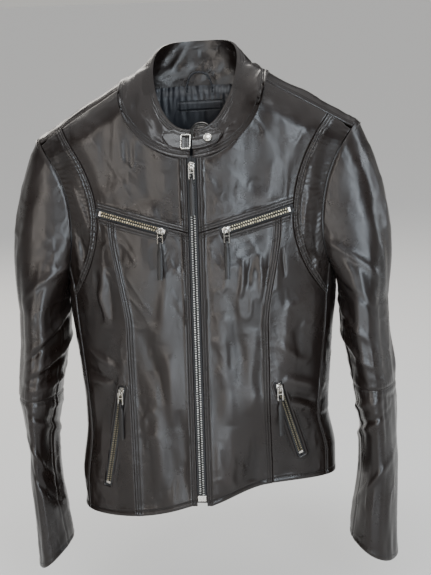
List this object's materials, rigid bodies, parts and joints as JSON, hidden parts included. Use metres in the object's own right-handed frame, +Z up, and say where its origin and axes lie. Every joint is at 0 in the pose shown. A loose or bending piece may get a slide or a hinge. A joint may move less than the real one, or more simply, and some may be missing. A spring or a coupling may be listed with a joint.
{
  "type": "leather riding jacket",
  "caption": "Fitted black leather riding jacket with stand collar, zip front, zipped chest and hand pockets, lined body and hinged sleeves.",
  "frame": {"origin": "the point between the shoulders, level with the neck points, where a hanger carries the jacket", "axes": "+Z up, front of the jacket towards -Y, +X towards the wearer's left, on the right as the front is seen"},
  "size_m": [0.4772, 0.1614, 0.6544],
  "materials": {
    "black_leather": "semi-gloss black lamb leather, fine grain",
    "thong_leather": "semi-gloss black leather strip, stitched",
    "satin_lining": "black satin weave",
    "nickel": "polished nickel plate, lightly worn",
    "steel_teeth": "grey metal zip teeth",
    "brass_teeth": "antique brass zip teeth on black tape",
    "zip_tape": "black woven zip tape",
    "badge_bronze": "round patch, dull bronze grey"
  },
  "bodies": {
    "jacket_body": {"back_yoke": "black_leather", "back_panel": "black_leather", "collar": "black_leather", "back_lining": "satin_lining", "neck_badge": "badge_bronze", "neck_label": "satin_lining", "hang_loop": "satin_lining", "front_zip_box": "steel_teeth", "front_yoke_left": "black_leather", "front_panel_left": "black_leather", "front_side_left": "black_leather", "shoulder_panel_left": "black_leather", "back_side_left": "black_leather", "front_lining_left": "satin_lining", "chest_pocket_bag_left": "satin_lining", "hand_pocket_bag_left": "satin_lining", "collar_tab_base_left": "black_leather", "front_zip_teeth_left": "steel_teeth", "front_zip_tape_left": "zip_tape", "chest_zip_left_chain": "brass_teeth", "hand_zip_left_chain": "brass_teeth", "front_yoke_right": "black_leather", "front_panel_right": "black_leather", "front_side_right": "black_leather", "shoulder_panel_right": "black_leather", "back_side_right": "black_leather", "front_lining_right": "satin_lining", "chest_pocket_bag_right": "satin_lining", "hand_pocket_bag_right": "satin_lining", "collar_tab_base_right": "black_leather", "front_zip_teeth_right": "steel_teeth", "front_zip_tape_right": "zip_tape", "chest_zip_right_chain": "brass_teeth", "hand_zip_right_chain": "brass_teeth"},
    "upper_sleeve_left": {"upper_sleeve_left": "black_leather", "upper_sleeve_lining_left": "satin_lining"},
    "lower_sleeve_left": {"lower_sleeve_left": "black_leather", "lower_sleeve_lining_left": "satin_lining"},
    "upper_sleeve_right": {"upper_sleeve_right": "black_leather", "upper_sleeve_lining_right": "satin_lining"},
    "lower_sleeve_right": {"lower_sleeve_right": "black_leather", "lower_sleeve_lining_right": "satin_lining"},
    "front_zip_slider": {"front_zip_slider": "nickel"},
    "front_zip_pull": {"front_zip_pull": "nickel"},
    "front_zip_thong": {"front_zip_thong": "thong_leather"},
    "chest_zip_left_slider": {"chest_zip_left_slider": "nickel"},
    "chest_zip_left_pull": {"chest_zip_left_pull": "nickel"},
    "chest_zip_left_thong": {"chest_zip_left_thong": "thong_leather"},
    "hand_zip_left_slider": {"hand_zip_left_slider": "nickel"},
    "hand_zip_left_pull": {"hand_zip_left_pull": "nickel"},
    "hand_zip_left_thong": {"hand_zip_left_thong": "thong_leather"},
    "chest_zip_right_slider": {"chest_zip_right_slider": "nickel"},
    "chest_zip_right_pull": {"chest_zip_right_pull": "nickel"},
    "chest_zip_right_thong": {"chest_zip_right_thong": "thong_leather"},
    "hand_zip_right_slider": {"hand_zip_right_slider": "nickel"},
    "hand_zip_right_pull": {"hand_zip_right_pull": "nickel"},
    "hand_zip_right_thong": {"hand_zip_right_thong": "thong_leather"},
    "tab_ring": {"tab_ring": "nickel"},
    "collar_tab": {"collar_tab": "black_leather", "snap_cap": "nickel"}
  },
  "joints": [
    {"name": "arm_lift_left", "type": "hinge", "parent": "jacket_body", "child": "upper_sleeve_left", "pos_m": [-0.196, 0, -0.0709], "axis": [0, 1, 0], "range_deg": [0, 50]},
    {"name": "elbow_bend_left", "type": "hinge", "parent": "upper_sleeve_left", "child": "lower_sleeve_left", "pos_m": [-0.2105, -0.064, -0.39328], "axis": [-1, 0, 0], "range_deg": [0, 80]},
    {"name": "arm_lift_right", "type": "hinge", "parent": "jacket_body", "child": "upper_sleeve_right", "pos_m": [0.196, 0, -0.0591], "axis": [0, -1, 0], "range_deg": [0, 50]},
    {"name": "elbow_bend_right", "type": "hinge", "parent": "upper_sleeve_right", "child": "lower_sleeve_right", "pos_m": [0.2105, -0.064, -0.38152], "axis": [-1, 0, 0], "range_deg": [0, 80]},
    {"name": "front_zip_run", "type": "slide", "parent": "jacket_body", "child": "front_zip_slider", "axis": [0, -0.0537, -0.9986], "range_m": [0, 0.3958]},
    {"name": "front_zip_pull_lift", "type": "hinge", "parent": "front_zip_slider", "child": "front_zip_pull", "pos_m": [0, -0.06818, -0.10379], "axis": [-1, 0, 0], "range_deg": [0, 120]},
    {"name": "front_zip_thong_swing", "type": "hinge", "parent": "front_zip_pull", "child": "front_zip_thong", "pos_m": [0, -0.06867, -0.11858], "axis": [-1, 0, 0], "range_deg": [0, 60]},
    {"name": "chest_zip_left_run", "type": "slide", "parent": "jacket_body", "child": "chest_zip_left_slider", "axis": [-0.9556, 0.1376, 0.2605], "range_m": [0, 0.0713]},
    {"name": "chest_zip_left_pull_lift", "type": "hinge", "parent": "chest_zip_left_slider", "child": "chest_zip_left_pull", "pos_m": [-0.04008, -0.07219, -0.18001], "axis": [-0.9997, 0.0224, 0], "range_deg": [0, 120]},
    {"name": "chest_zip_left_thong_swing", "type": "hinge", "parent": "chest_zip_left_pull", "child": "chest_zip_left_thong", "pos_m": [-0.04015, -0.07531, -0.19447], "axis": [-0.9997, 0.0224, 0], "range_deg": [0, 60]},
    {"name": "hand_zip_left_run", "type": "slide", "parent": "jacket_body", "child": "hand_zip_left_slider", "axis": [-0.1891, 0.0361, -0.9813], "range_m": [0, 0.1123]},
    {"name": "hand_zip_left_pull_lift", "type": "hinge", "parent": "hand_zip_left_slider", "child": "hand_zip_left_pull", "pos_m": [-0.09818, -0.06975, -0.38002], "axis": [-0.943, 0.3329, 0], "range_deg": [0, 120]},
    {"name": "hand_zip_left_thong_swing", "type": "hinge", "parent": "hand_zip_left_pull", "child": "hand_zip_left_thong", "pos_m": [-0.09837, -0.07028, -0.39481], "axis": [-0.943, 0.3329, 0], "range_deg": [0, 60]},
    {"name": "chest_zip_right_run", "type": "slide", "parent": "jacket_body", "child": "chest_zip_right_slider", "axis": [0.9531, 0.1372, 0.2697], "range_m": [0, 0.0715]},
    {"name": "chest_zip_right_pull_lift", "type": "hinge", "parent": "chest_zip_right_slider", "child": "chest_zip_right_pull", "pos_m": [0.04008, -0.07219, -0.17999], "axis": [-0.9997, -0.0224, 0], "range_deg": [0, 120]},
    {"name": "chest_zip_right_thong_swing", "type": "hinge", "parent": "chest_zip_right_pull", "child": "chest_zip_right_thong", "pos_m": [0.04015, -0.07527, -0.19447], "axis": [-0.9997, -0.0224, 0], "range_deg": [0, 60]},
    {"name": "hand_zip_right_run", "type": "slide", "parent": "jacket_body", "child": "hand_zip_right_slider", "axis": [0.24, 0.2554, -0.9366], "range_m": [0, 0.0877]},
    {"name": "hand_zip_right_pull_lift", "type": "hinge", "parent": "hand_zip_right_slider", "child": "hand_zip_right_pull", "pos_m": [0.09817, -0.06975, -0.37598], "axis": [-0.9438, -0.3306, 0], "range_deg": [0, 120]},
    {"name": "hand_zip_right_thong_swing", "type": "hinge", "parent": "hand_zip_right_pull", "child": "hand_zip_right_thong", "pos_m": [0.09835, -0.07027, -0.39077], "axis": [-0.9438, -0.3306, 0], "range_deg": [0, 60]},
    {"name": "ring_swing", "type": "hinge", "parent": "jacket_body", "child": "tab_ring", "pos_m": [-0.0124, -0.05816, -0.07497], "axis": [0, -0.5145, -0.8575], "range_deg": [0, 25]},
    {"name": "tab_open", "type": "hinge", "parent": "tab_ring", "child": "collar_tab", "pos_m": [-0.0014, -0.05816, -0.07497], "axis": [0, -0.5145, -0.8575], "range_deg": [0, 100]}
  ]
}
